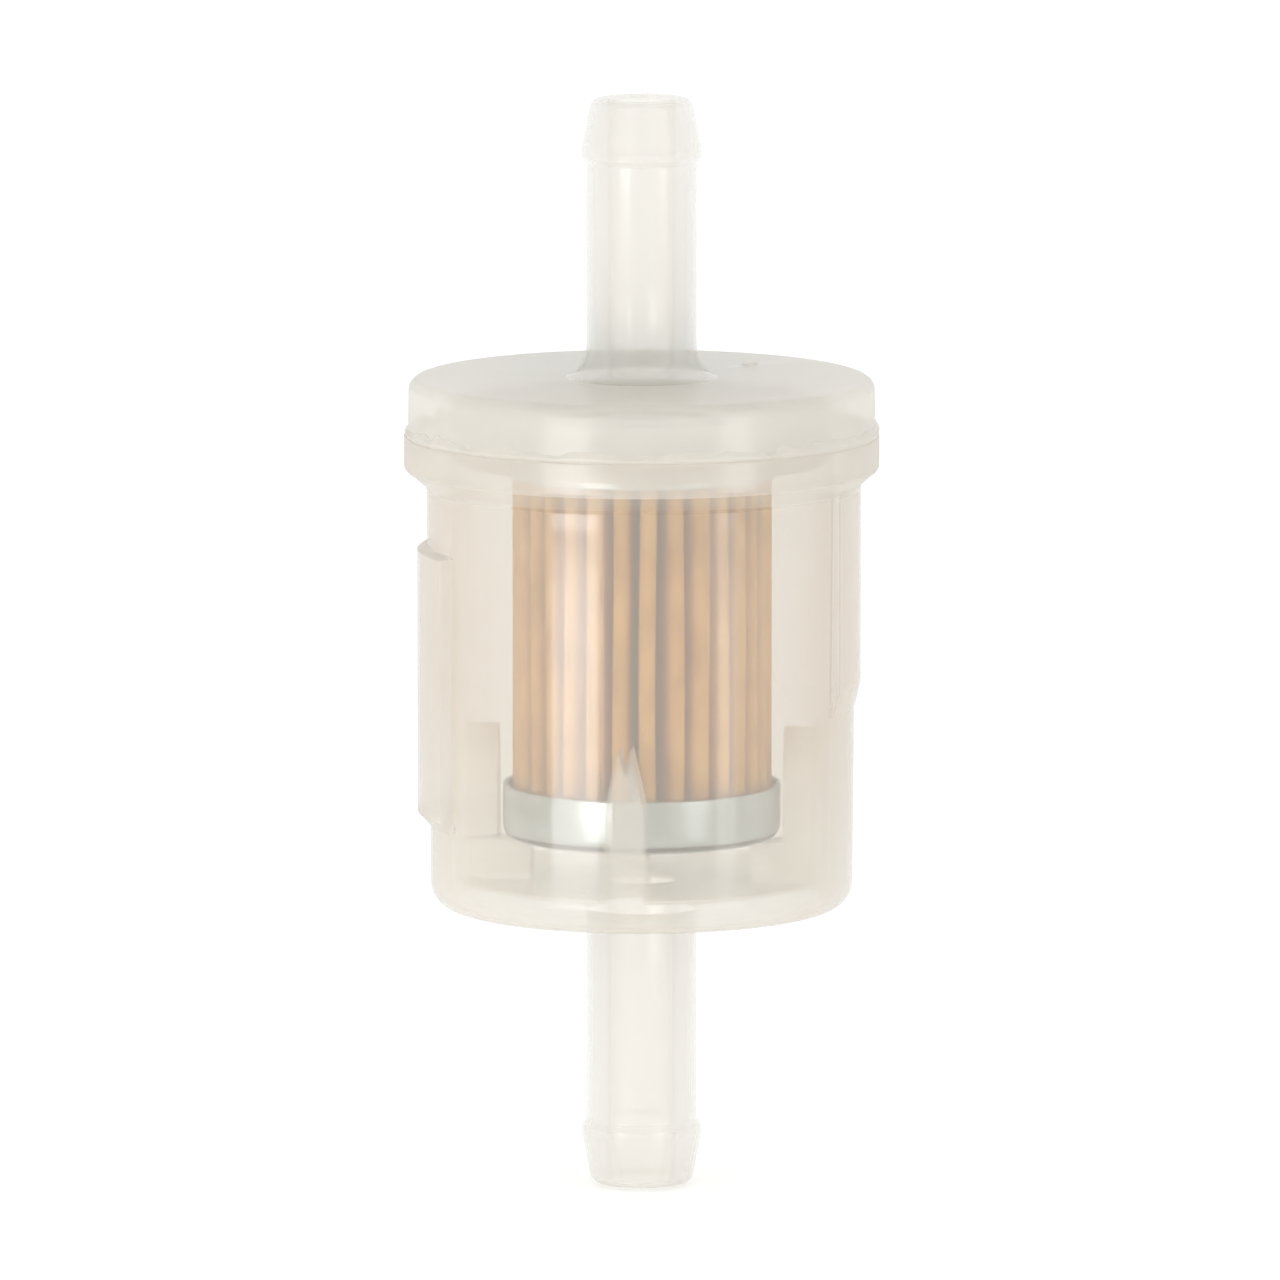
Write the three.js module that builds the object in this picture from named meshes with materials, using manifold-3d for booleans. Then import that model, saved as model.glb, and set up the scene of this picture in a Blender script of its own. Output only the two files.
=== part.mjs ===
// Small inline fuel filter: a welded translucent housing around a pleated paper element.
// Millimetres, +Z up along the flow axis. The origin is the centre of the inlet stem's end face.
// Fuel enters at the bottom stem, passes inwards through the pleats and leaves at the top stem.
import * as THREE from 'three';
import { mergeVertices } from 'three/addons/utils/BufferGeometryUtils.js';
import Module from 'manifold-3d';

const wasm = await Module();
wasm.setup();

// Hose stems, the same on both mouldings
const OVERALL_LENGTH = 65.6;
const STEM_LENGTH = 16.8;
const STEM_RADIUS = 3.3;
const BORE_RADIUS = 2.0;
const BARB_RADIUS = 3.6;
const BARB_PEAK = 3.0;
const BARB_LAND = 0.4;
const BARB_SHOULDER = 3.85;
const TIP_RADIUS = 3.0;
const TIP_ROUND = 0.5;

// Bowl
const BOWL_BOTTOM = STEM_LENGTH;
const BOWL_FOOT_RADIUS = 12.65;
const BOWL_NECK_RADIUS = 12.9;
const BOWL_CORNER = 1.5;
const FLOOR_THICKNESS = 1.65;
const BOWL_INNER_FOOT_RADIUS = 11.3;
const BOWL_INNER_MOUTH_RADIUS = 11.5;
const BOWL_INNER_CORNER = 0.8;
const STEM_ROOT_FILLET = 0.5;
const FLANGE_RADIUS = 14.25;
const FLANGE_CHAMFER_START = 42.3;
const FLANGE_LOW = 43.4;
const JOINT_LEVEL = 45.4;

// Raised pads on the bowl's sides
const PAD_HALF_ANGLE = THREE.MathUtils.degToRad(27);
const PAD_ROOT_RADIUS = 12.0;
const LEFT_PAD = { azimuth: Math.PI, radius: 13.46, low: 21.85, high: 38.6, taper: 0.8 };
const RIGHT_PAD = { azimuth: 0, radius: 13.15, low: 28.9, high: 42.9, taper: 1.6 };

// Ribs inside the bowl that centre and carry the element
const RIB_COUNT = 4;
const RIB_FIRST_AZIMUTH = THREE.MathUtils.degToRad(-95.5);
const RIB_HALF_WIDTH = 1.2;
const RIB_INNER_RADIUS = 8.6;
const RIB_ROOT_RADIUS = 12.0;
const RIB_SHOULDER = 24.5;
const RIB_APEX = 27.7;
const RIB_APEX_OFFSET = 0.34;
const RIB_NOTCH = 26.2;
const LEDGE_INNER_RADIUS = 6.6;

// Lid
const LID_TOP = OVERALL_LENGTH - STEM_LENGTH;
const LID_RADIUS = 14.0;
const LID_CORNER = 0.9;
const LID_UNDERSIDE = 47.2;
const SKIRT_INNER_RADIUS = 12.35;
const TONGUE_OUTER_RADIUS = 11.3;
const TONGUE_INNER_RADIUS = 10.5;
const TONGUE_LOW = 43.8;
const FLARE_RADIUS = 4.5;
const FLARE_HEIGHT = 1.6;
const BOSS_UNDERSIDE = 46.1;
const SEAL_POCKET_RADIUS = 5.8;
const SEAL_WALL_RADIUS = 7.0;
const SEAL_WALL_LOW = 45.15;

// Filter element
const CAP_RADIUS = 8.35;
const CAP_CORNER = 0.8;
const SHEET = 0.3;
const LOWER_CAP_LOW = 20.9;
const LOWER_CAP_RIM = 24.3;
const UPPER_CAP_RIM = 43.0;
const UPPER_CAP_TOP = 44.9;
const NECK_RADIUS = 3.2;
const NECK_TOP = 45.7;
const POTTING_DEPTH = 1.4;
const POTTING_CLEARANCE = 0.05;
const CORE_RADIUS = 3.9;
const CORE_WALL = 0.3;
const CORE_HOLE_RADIUS = 0.8;
const CORE_HOLES_AROUND = 6;
const CORE_HOLE_ROWS = 5;
const CORE_HOLE_SIDES = 8;
const SEAL_INNER_RADIUS = 3.35;
const SEAL_OUTER_RADIUS = 5.6;

// Pleated paper
const PLEAT_COUNT = 28;
const PLEAT_PITCH = THREE.MathUtils.degToRad(12.2);
const PLEAT_RADIUS = 7.85;
const PLEAT_ROOT_RADIUS = 4.2;
const PAPER_THICKNESS = 0.28;
const FOLD_HALF_WIDTH = 0.5;
const FOLD_ROUND = 0.35;
const FOLD_SHOULDER = { drop: 0.3, width: 0.7 };
const VALLEY_HALF_GAP = 0.08;
const SEAM_AZIMUTH = Math.PI / 2;
const CLIP_INNER_HALF_WIDTH = 0.56;
const CLIP_SHEET = 0.2;
const CLIP_DEPTH = 1.3;
const CLIP_END_GAP = 0.3;

// Levels that follow from the caps
const ELEMENT_LOW = LOWER_CAP_LOW + SHEET + POTTING_DEPTH;
const ELEMENT_HIGH = UPPER_CAP_TOP - SHEET - POTTING_DEPTH;
const FLOOR_LEVEL = BOWL_BOTTOM + FLOOR_THICKNESS;

const HOUSING_SEGMENTS = 48;
const ELEMENT_SEGMENTS = 36;
const WELD = 1e-5;

// ---- materials ----

function housingMaterial() {
  return new THREE.MeshStandardMaterial({ color: 0xe6e3da, roughness: 0.35, metalness: 0 });
}

function paperMaterial() {
  return new THREE.MeshStandardMaterial({ color: 0xd9b98a, roughness: 0.9, metalness: 0 });
}

function zincMaterial() {
  return new THREE.MeshStandardMaterial({ color: 0xc3c6c0, roughness: 0.3, metalness: 1 });
}

function pottingMaterial() {
  return new THREE.MeshStandardMaterial({ color: 0xb9a98c, roughness: 0.6, metalness: 0 });
}

function rubberMaterial() {
  return new THREE.MeshStandardMaterial({ color: 0xcdc3ae, roughness: 0.8, metalness: 0 });
}

// ---- shape helpers ----

// Points along a quarter of a circle (or less) in the radius-height plane, angles in degrees.
function arc(centreR, centreZ, radius, fromDeg, toDeg, steps = 4) {
  const points = [];
  for (let i = 0; i <= steps; i += 1) {
    const angle = THREE.MathUtils.degToRad(fromDeg + ((toDeg - fromDeg) * i) / steps);
    points.push([centreR + radius * Math.cos(angle), centreZ + radius * Math.sin(angle)]);
  }
  return points;
}

// Solid of revolution about Z from a counter-clockwise outline of [radius, height] pairs.
// An outline that leaves the axis ends on it again; any other outline closes on itself.
function revolve(outline, segments) {
  const points = outline.map(([r, z]) => new THREE.Vector2(r, z));
  if (outline[0][0] > 0) points.push(points[0].clone());
  const geometry = new THREE.LatheGeometry(points, segments);
  geometry.rotateX(Math.PI / 2);
  return geometry;
}

function weldVertices(geometry) {
  const bare = geometry.clone();
  bare.deleteAttribute('normal');
  bare.deleteAttribute('uv');
  return mergeVertices(bare, WELD);
}

function toManifold(geometry) {
  const welded = weldVertices(geometry);
  const vertProperties = Float32Array.from(welded.attributes.position.array);
  const triVerts = Uint32Array.from(welded.index.array);
  return new wasm.Manifold(new wasm.Mesh({ numProp: 3, vertProperties, triVerts }));
}

function fromManifold(manifold) {
  const mesh = manifold.getMesh();
  const geometry = new THREE.BufferGeometry();
  geometry.setAttribute('position', new THREE.BufferAttribute(Float32Array.from(mesh.vertProperties), 3));
  geometry.setIndex(new THREE.BufferAttribute(Uint32Array.from(mesh.triVerts), 1));
  geometry.computeVertexNormals();
  return geometry;
}

function part(name, geometry, material) {
  const mesh = new THREE.Mesh(geometry, material);
  mesh.name = name;
  return mesh;
}

// Outside of a hose stem whose tip is at tipZ, from the tip to the straight shank.
// direction is +1 for a stem that rises from its tip and -1 for one that drops from it.
function stemTipOutline(tipZ, direction) {
  const roundCentre = TIP_RADIUS - TIP_ROUND;
  const rounded = arc(0, 0, TIP_ROUND, -90, 0, 3);
  return [
    ...rounded.map(([r, z]) => [roundCentre + r, tipZ + direction * (TIP_ROUND + z)]),
    [BARB_RADIUS, tipZ + direction * BARB_PEAK],
    [BARB_RADIUS, tipZ + direction * (BARB_PEAK + BARB_LAND)],
    [STEM_RADIUS, tipZ + direction * BARB_SHOULDER],
  ];
}

// ---- housing ----

// Tube with a barb at its tip. It runs through the bowl's floor or the lid to its plain end at innerZ.
function hoseStem(name, tipZ, direction, innerZ) {
  const outline = [
    [BORE_RADIUS, tipZ],
    ...stemTipOutline(tipZ, direction),
    [STEM_RADIUS, innerZ],
    [BORE_RADIUS, innerZ],
  ];
  if (direction < 0) outline.reverse();
  return part(name, revolve(outline, HOUSING_SEGMENTS), housingMaterial());
}

function bowlShell() {
  const cornerCentre = BOWL_FOOT_RADIUS - BOWL_CORNER;
  const innerCentre = BOWL_INNER_FOOT_RADIUS - BOWL_INNER_CORNER;
  const rootRadius = STEM_RADIUS + STEM_ROOT_FILLET;
  const outline = [
    ...arc(rootRadius, BOWL_BOTTOM - STEM_ROOT_FILLET, STEM_ROOT_FILLET, 180, 90, 2),
    ...arc(cornerCentre, BOWL_BOTTOM + BOWL_CORNER, BOWL_CORNER, -90, 0),
    [BOWL_NECK_RADIUS, FLANGE_CHAMFER_START],
    [FLANGE_RADIUS, FLANGE_LOW],
    [FLANGE_RADIUS, JOINT_LEVEL],
    [BOWL_INNER_MOUTH_RADIUS, JOINT_LEVEL],
    ...arc(innerCentre, FLOOR_LEVEL + BOWL_INNER_CORNER, BOWL_INNER_CORNER, 0, -90, 3),
    [STEM_RADIUS, FLOOR_LEVEL],
  ];
  return toManifold(revolve(outline, HOUSING_SEGMENTS));
}

// A ring sector that stands proud of the bowl wall, with its lower end run out into the wall.
function sidePad({ azimuth, radius, low, high, taper }) {
  const outline = [
    [PAD_ROOT_RADIUS, low],
    [BOWL_FOOT_RADIUS, low],
    [radius, low + taper],
    [radius, high],
    [PAD_ROOT_RADIUS, high],
  ];
  const ring = toManifold(revolve(outline, HOUSING_SEGMENTS));
  const reach = 2 * radius;
  const wedge = new THREE.Shape([
    new THREE.Vector2(0, 0),
    new THREE.Vector2(reach, -reach * Math.tan(PAD_HALF_ANGLE)),
    new THREE.Vector2(reach, reach * Math.tan(PAD_HALF_ANGLE)),
  ]);
  const prism = new THREE.ExtrudeGeometry(wedge, { depth: OVERALL_LENGTH, bevelEnabled: false });
  prism.rotateZ(azimuth);
  return ring.intersect(toManifold(prism));
}

// A radial rib: an upright web with a two-pointed top, and a ledge under the element.
function locatingRib(azimuth) {
  const footZ = FLOOR_LEVEL - FLOOR_THICKNESS / 2;
  const web = new THREE.Shape([
    new THREE.Vector2(-RIB_HALF_WIDTH, footZ),
    new THREE.Vector2(RIB_HALF_WIDTH, footZ),
    new THREE.Vector2(RIB_HALF_WIDTH, RIB_SHOULDER),
    new THREE.Vector2(RIB_APEX_OFFSET, RIB_APEX),
    new THREE.Vector2(0, RIB_NOTCH),
    new THREE.Vector2(-RIB_APEX_OFFSET, RIB_APEX),
    new THREE.Vector2(-RIB_HALF_WIDTH, RIB_SHOULDER),
  ]);
  const webDepth = RIB_ROOT_RADIUS - RIB_INNER_RADIUS;
  const upright = new THREE.ExtrudeGeometry(web, { depth: webDepth, bevelEnabled: false });
  upright.rotateX(Math.PI / 2);
  upright.translate(0, RIB_ROOT_RADIUS, 0);

  const ledgeDepth = RIB_ROOT_RADIUS - LEDGE_INNER_RADIUS;
  const ledgeHeight = LOWER_CAP_LOW - footZ;
  const ledge = new THREE.BoxGeometry(2 * RIB_HALF_WIDTH, ledgeDepth, ledgeHeight);
  ledge.translate(0, RIB_ROOT_RADIUS - ledgeDepth / 2, footZ + ledgeHeight / 2);

  const turn = azimuth - Math.PI / 2;
  upright.rotateZ(turn);
  ledge.rotateZ(turn);
  return toManifold(upright).add(toManifold(ledge));
}

function inletBowl() {
  let body = bowlShell();
  body = body.add(sidePad(LEFT_PAD));
  body = body.add(sidePad(RIGHT_PAD));
  for (let i = 0; i < RIB_COUNT; i += 1) {
    body = body.add(locatingRib(RIB_FIRST_AZIMUTH + (i * 2 * Math.PI) / RIB_COUNT));
  }
  return part('inlet_bowl', fromManifold(body), housingMaterial());
}

// Concave sweep from the lid's top up to the stem, steep at its upper end.
function flareOutline() {
  const points = [];
  const steps = 4;
  for (let i = 0; i < steps; i += 1) {
    const angle = (i / steps) * (Math.PI / 2);
    const r = FLARE_RADIUS - (FLARE_RADIUS - STEM_RADIUS) * Math.sin(angle);
    const z = LID_TOP + FLARE_HEIGHT * (1 - Math.cos(angle));
    points.push([r, z]);
  }
  points.push([STEM_RADIUS, LID_TOP + FLARE_HEIGHT]);
  return points;
}

function outletLid() {
  const outline = [
    [SKIRT_INNER_RADIUS, JOINT_LEVEL],
    [LID_RADIUS, JOINT_LEVEL],
    ...arc(LID_RADIUS - LID_CORNER, LID_TOP - LID_CORNER, LID_CORNER, 0, 90),
    ...flareOutline(),
    [STEM_RADIUS, BOSS_UNDERSIDE],
    [SEAL_POCKET_RADIUS, BOSS_UNDERSIDE],
    [SEAL_POCKET_RADIUS, SEAL_WALL_LOW],
    [SEAL_WALL_RADIUS, SEAL_WALL_LOW],
    [SEAL_WALL_RADIUS, LID_UNDERSIDE],
    [TONGUE_INNER_RADIUS, LID_UNDERSIDE],
    [TONGUE_INNER_RADIUS, TONGUE_LOW],
    [TONGUE_OUTER_RADIUS, TONGUE_LOW],
    [TONGUE_OUTER_RADIUS, LID_UNDERSIDE],
    [SKIRT_INNER_RADIUS, LID_UNDERSIDE],
  ];
  return part('outlet_lid', revolve(outline, HOUSING_SEGMENTS), housingMaterial());
}

// ---- filter element ----

// Closed dish of drawn sheet that the lower ends of the pleats stand in.
function lowerEndCap() {
  const centre = CAP_RADIUS - CAP_CORNER;
  const bend = LOWER_CAP_LOW + CAP_CORNER;
  const outline = [
    [0, LOWER_CAP_LOW],
    ...arc(centre, bend, CAP_CORNER, -90, 0, 3),
    [CAP_RADIUS, LOWER_CAP_RIM],
    [CAP_RADIUS - SHEET, LOWER_CAP_RIM],
    ...arc(centre, bend, CAP_CORNER - SHEET, 0, -90, 3),
    [0, LOWER_CAP_LOW + SHEET],
  ];
  return part('lower_end_cap', revolve(outline, ELEMENT_SEGMENTS), zincMaterial());
}

// Open-centred dish on the upper ends of the pleats, with a short neck towards the outlet.
function upperEndCap() {
  const centre = CAP_RADIUS - CAP_CORNER;
  const bend = UPPER_CAP_TOP - CAP_CORNER;
  const outline = [
    [CAP_RADIUS - SHEET, UPPER_CAP_RIM],
    [CAP_RADIUS, UPPER_CAP_RIM],
    ...arc(centre, bend, CAP_CORNER, 0, 90, 3),
    [NECK_RADIUS, UPPER_CAP_TOP],
    [NECK_RADIUS, NECK_TOP],
    [NECK_RADIUS - SHEET, NECK_TOP],
    [NECK_RADIUS - SHEET, UPPER_CAP_TOP - SHEET],
    ...arc(centre, bend, CAP_CORNER - SHEET, 90, 0, 3),
  ];
  return part('upper_end_cap', revolve(outline, ELEMENT_SEGMENTS), zincMaterial());
}

// Bead of cured adhesive in a cap's corner: its chamfer clears the cap's inner bend.
function lowerPotting() {
  const low = LOWER_CAP_LOW + SHEET;
  const radius = CAP_RADIUS - SHEET - POTTING_CLEARANCE;
  const bend = CAP_CORNER - SHEET + POTTING_CLEARANCE;
  const outline = [
    [0, low],
    [radius - bend, low],
    [radius, low + bend],
    [radius, ELEMENT_LOW],
    [0, ELEMENT_LOW],
  ];
  return part('lower_potting', revolve(outline, ELEMENT_SEGMENTS), pottingMaterial());
}

function upperPotting() {
  const high = UPPER_CAP_TOP - SHEET;
  const radius = CAP_RADIUS - SHEET - POTTING_CLEARANCE;
  const bend = CAP_CORNER - SHEET + POTTING_CLEARANCE;
  const outline = [
    [CORE_RADIUS - CORE_WALL, ELEMENT_HIGH],
    [radius, ELEMENT_HIGH],
    [radius, high - bend],
    [radius - bend, high],
    [CORE_RADIUS - CORE_WALL, high],
  ];
  return part('upper_potting', revolve(outline, ELEMENT_SEGMENTS), pottingMaterial());
}

function punchCylinder() {
  return new THREE.CylinderGeometry(CORE_HOLE_RADIUS, CORE_HOLE_RADIUS, CORE_RADIUS, CORE_HOLE_SIDES);
}

// Perforated support tube inside the pleats; every second row of holes is offset by half a step.
function coreTube() {
  const outline = [
    [CORE_RADIUS - CORE_WALL, ELEMENT_LOW],
    [CORE_RADIUS, ELEMENT_LOW],
    [CORE_RADIUS, ELEMENT_HIGH],
    [CORE_RADIUS - CORE_WALL, ELEMENT_HIGH],
  ];
  let tube = toManifold(revolve(outline, ELEMENT_SEGMENTS));
  const rowStep = (ELEMENT_HIGH - ELEMENT_LOW) / CORE_HOLE_ROWS;
  const holeStep = (2 * Math.PI) / CORE_HOLES_AROUND;
  for (let row = 0; row < CORE_HOLE_ROWS; row += 1) {
    for (let i = 0; i < CORE_HOLES_AROUND; i += 1) {
      const punch = punchCylinder();
      punch.translate(0, CORE_RADIUS, 0);
      punch.rotateZ((i + (row % 2) / 2) * holeStep);
      punch.translate(0, 0, ELEMENT_LOW + (row + 0.5) * rowStep);
      tube = tube.subtract(toManifold(punch));
    }
  }
  return part('core_tube', fromManifold(tube), zincMaterial());
}

// A point given along a radial direction and sideways from it.
function radialPoint(azimuth, along, across) {
  const x = along * Math.cos(azimuth) - across * Math.sin(azimuth);
  const y = along * Math.sin(azimuth) + across * Math.cos(azimuth);
  return new THREE.Vector2(x, y);
}

// Rounded fold, half a width to each side of a radial line, with its tip at tipRadius.
function foldPoints(azimuth, tipRadius, halfWidth, round, inward) {
  const foot = tipRadius + (inward ? round : -round);
  const shoulder = THREE.MathUtils.lerp(tipRadius, foot, FOLD_SHOULDER.drop);
  return [
    radialPoint(azimuth, foot, -halfWidth),
    radialPoint(azimuth, shoulder, -halfWidth * FOLD_SHOULDER.width),
    radialPoint(azimuth, tipRadius, 0),
    radialPoint(azimuth, shoulder, halfWidth * FOLD_SHOULDER.width),
    radialPoint(azimuth, foot, halfWidth),
  ];
}

// Directions of the outer folds: even pleats, and the seam pleat alone in a wider space.
function pleatAzimuths() {
  const azimuths = [SEAM_AZIMUTH];
  const evenSpan = (PLEAT_COUNT - 1) * PLEAT_PITCH;
  const first = SEAM_AZIMUTH + (2 * Math.PI - evenSpan) / 2;
  for (let i = 0; i < PLEAT_COUNT; i += 1) azimuths.push(first + i * PLEAT_PITCH);
  azimuths.push(SEAM_AZIMUTH + 2 * Math.PI);
  return azimuths;
}

function pleatedPaper() {
  const outer = [];
  const inner = [];
  const azimuths = pleatAzimuths();
  const slotHalfWidth = FOLD_HALF_WIDTH - PAPER_THICKNESS;
  const valleyHalfWidth = VALLEY_HALF_GAP + PAPER_THICKNESS;
  for (let i = 0; i < azimuths.length - 1; i += 1) {
    const ridge = azimuths[i];
    const valley = (ridge + azimuths[i + 1]) / 2;
    const valleyFloor = PLEAT_ROOT_RADIUS + PAPER_THICKNESS;
    outer.push(...foldPoints(ridge, PLEAT_RADIUS, FOLD_HALF_WIDTH, FOLD_ROUND, false));
    outer.push(...foldPoints(valley, valleyFloor, VALLEY_HALF_GAP, FOLD_ROUND / 2, true));
    const slotTip = PLEAT_RADIUS - PAPER_THICKNESS;
    inner.push(...foldPoints(ridge, slotTip, slotHalfWidth, FOLD_ROUND / 2, false));
    inner.push(...foldPoints(valley, PLEAT_ROOT_RADIUS, valleyHalfWidth, FOLD_ROUND, true));
  }
  const strip = new THREE.Shape(outer);
  strip.holes.push(new THREE.Path(inner));
  const height = ELEMENT_HIGH - ELEMENT_LOW;
  const geometry = new THREE.ExtrudeGeometry(strip, { depth: height, bevelEnabled: false });
  geometry.translate(0, 0, ELEMENT_LOW);
  return part('pleated_paper', geometry, paperMaterial());
}

// Bent strip that pinches the two ends of the paper together along the seam pleat.
function seamClip() {
  const crown = PLEAT_RADIUS + POTTING_CLEARANCE;
  const open = crown - CLIP_DEPTH;
  const inside = CLIP_INNER_HALF_WIDTH;
  const outside = CLIP_INNER_HALF_WIDTH + CLIP_SHEET;
  const section = new THREE.Shape([
    radialPoint(SEAM_AZIMUTH, open, -outside),
    radialPoint(SEAM_AZIMUTH, crown + CLIP_SHEET, -outside),
    radialPoint(SEAM_AZIMUTH, crown + CLIP_SHEET, outside),
    radialPoint(SEAM_AZIMUTH, open, outside),
    radialPoint(SEAM_AZIMUTH, open, inside),
    radialPoint(SEAM_AZIMUTH, crown, inside),
    radialPoint(SEAM_AZIMUTH, crown, -inside),
    radialPoint(SEAM_AZIMUTH, open, -inside),
  ]);
  const low = LOWER_CAP_RIM + CLIP_END_GAP;
  const high = UPPER_CAP_RIM - CLIP_END_GAP;
  const geometry = new THREE.ExtrudeGeometry(section, { depth: high - low, bevelEnabled: false });
  geometry.translate(0, 0, low);
  return part('seam_clip', geometry, zincMaterial());
}

// Flat ring squeezed between the upper end cap and the boss under the lid.
function outletSeal() {
  const outline = [
    [SEAL_INNER_RADIUS, UPPER_CAP_TOP],
    [SEAL_OUTER_RADIUS, UPPER_CAP_TOP],
    [SEAL_OUTER_RADIUS, BOSS_UNDERSIDE],
    [SEAL_INNER_RADIUS, BOSS_UNDERSIDE],
  ];
  return part('outlet_seal', revolve(outline, ELEMENT_SEGMENTS), rubberMaterial());
}

// ---- assembly ----

const element = new THREE.Group();
element.add(lowerEndCap(), lowerPotting(), pleatedPaper(), seamClip());
element.add(coreTube(), upperPotting(), upperEndCap(), outletSeal());

const filter = new THREE.Group();
filter.add(hoseStem('inlet_stem', 0, 1, FLOOR_LEVEL), inletBowl());
filter.add(hoseStem('outlet_stem', OVERALL_LENGTH, -1, BOSS_UNDERSIDE), outletLid(), element);

export default filter;
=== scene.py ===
import math
import random

import bmesh
import bpy
from mathutils import Matrix, Vector, noise


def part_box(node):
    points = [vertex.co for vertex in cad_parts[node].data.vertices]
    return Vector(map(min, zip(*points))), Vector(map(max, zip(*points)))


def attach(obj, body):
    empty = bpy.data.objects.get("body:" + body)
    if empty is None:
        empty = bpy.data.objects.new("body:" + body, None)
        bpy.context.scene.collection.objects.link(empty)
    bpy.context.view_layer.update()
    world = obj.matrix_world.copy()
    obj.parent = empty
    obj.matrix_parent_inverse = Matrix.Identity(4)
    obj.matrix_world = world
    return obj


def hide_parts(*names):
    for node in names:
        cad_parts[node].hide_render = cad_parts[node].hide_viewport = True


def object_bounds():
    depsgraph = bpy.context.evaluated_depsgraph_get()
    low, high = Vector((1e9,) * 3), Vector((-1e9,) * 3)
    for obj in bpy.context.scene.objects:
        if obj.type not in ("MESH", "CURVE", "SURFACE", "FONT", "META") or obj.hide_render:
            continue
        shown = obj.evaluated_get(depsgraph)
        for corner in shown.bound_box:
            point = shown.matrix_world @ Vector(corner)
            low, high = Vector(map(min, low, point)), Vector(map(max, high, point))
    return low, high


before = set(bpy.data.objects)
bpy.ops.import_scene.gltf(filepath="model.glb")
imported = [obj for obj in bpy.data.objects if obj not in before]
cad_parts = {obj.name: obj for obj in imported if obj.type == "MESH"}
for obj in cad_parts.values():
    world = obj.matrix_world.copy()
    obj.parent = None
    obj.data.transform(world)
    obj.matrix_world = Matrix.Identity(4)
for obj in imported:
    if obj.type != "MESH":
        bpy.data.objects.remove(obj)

cad_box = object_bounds()

# Every shape below is made in millimetres, in the CAD frame, and scaled to metres by finish_piece.
MM = 0.001


def box_mm(node):
    low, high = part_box(node)
    return [v / MM for v in low], [v / MM for v in high]


# ---------------------------------------------------------------- sizes from the frame

BOWL_NODES = ["inlet_bowl", "inlet_stem"]
LID_NODES = ["outlet_lid", "outlet_stem"]
bowl_box = box_mm("inlet_bowl")
lid_box = box_mm("outlet_lid")
lower_cap_box = box_mm("lower_end_cap")
upper_cap_box = box_mm("upper_end_cap")
paper_box = box_mm("pleated_paper")
core_box = box_mm("core_tube")
clip_box = box_mm("seam_clip")
seal_box = box_mm("outlet_seal")
lower_potting_box = box_mm("lower_potting")
upper_potting_box = box_mm("upper_potting")

INLET_TIP = cad_box[0][2] / MM
OUTLET_TIP = cad_box[1][2] / MM
JOINT = bowl_box[1][2]
FLANGE_RADIUS = bowl_box[1][1]
LID_RADIUS = lid_box[1][0]
CAP_RADIUS = lower_cap_box[1][0]
PAPER_RADIUS = -paper_box[0][1]
CORE_RADIUS = core_box[1][0]

# ---------------------------------------------------------------- the housing's own sizes

STEM_LENGTH = 16.8
STEM_RADIUS = 3.3
BORE_RADIUS = 2.0
BARB_RADIUS = 3.6
TIP_RADIUS = 3.0
# Distances from a stem's tip to where its barb is widest, to the end of that land, and to the shank
BARB_START = 3.05
BARB_END = 3.45
SHANK_START = 3.85
LID_TOP = OUTLET_TIP - STEM_LENGTH
BOWL_BOTTOM = INLET_TIP + STEM_LENGTH
FOOT_RADIUS = 12.65
NECK_RADIUS = 12.9
FLANGE_LOW = 43.4
CHAMFER_LOW = 42.3
INNER_FOOT = 11.3
INNER_MOUTH = 11.5
BOWL_FLOOR = 18.45
LID_UNDERSIDE = 47.2
BOSS_UNDERSIDE = seal_box[1][2]
# Rings on the lid's underside: the wall of the seal pocket, the weld tongue, and the skirt
POCKET_RADIUS = 5.8
POCKET_WALL_RADIUS = 7.0
POCKET_LOW = 45.15
TONGUE_INNER = 10.5
TONGUE_OUTER = 11.3
TONGUE_LOW = 43.8
SKIRT_INNER = 12.35
# Flared foot of the upper stem
FLARE_RADIUS = 4.8
FLARE_HEIGHT = 2.1
FLARE_STEPS = 10
# Nub where the lid's mould was filled
GATE_PLACE = (6.5, 5.9, 0)
GATE_RADIUS = 0.45
GATE_HEIGHT = 0.16
# Thickness of the end caps' and the core's sheet
SHEET = 0.3

# Steps round the axis for a turned piece
FINE_TURN = 160


# ---------------------------------------------------------------- mesh helpers


def smoothstep(value, low, high):
    t = min(max((value - low) / (high - low), 0.0), 1.0)
    return t * t * (3 - 2 * t)


def turn_gap(a, b):
    """Signed angle from b to a, between -pi and pi."""
    return (a - b + math.pi) % (2 * math.pi) - math.pi


def fillet(before, corner, after, radius):
    """Points of the arc that rounds one corner of an outline."""
    p = Vector(corner)
    u = Vector(before) - p
    v = Vector(after) - p
    reach = 0.45 * min(u.length, v.length)
    u.normalize()
    v.normalize()
    opening = u.angle(v)
    if radius <= 0 or reach <= 0 or opening > math.pi - 0.02:
        return [tuple(p)]
    tangent = min(radius / math.tan(opening / 2), reach)
    radius = tangent * math.tan(opening / 2)
    centre = p + (u + v).normalized() * (radius / math.sin(opening / 2))
    start = p + u * tangent - centre
    end = p + v * tangent - centre
    sweep = math.atan2(start.x * end.y - start.y * end.x, start.dot(end))
    steps = max(2, math.ceil(abs(sweep) / math.radians(14)))
    points = []
    for i in range(steps + 1):
        angle = sweep * i / steps
        c = math.cos(angle)
        s = math.sin(angle)
        points.append((centre.x + start.x * c - start.y * s, centre.y + start.x * s + start.y * c))
    return points


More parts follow.
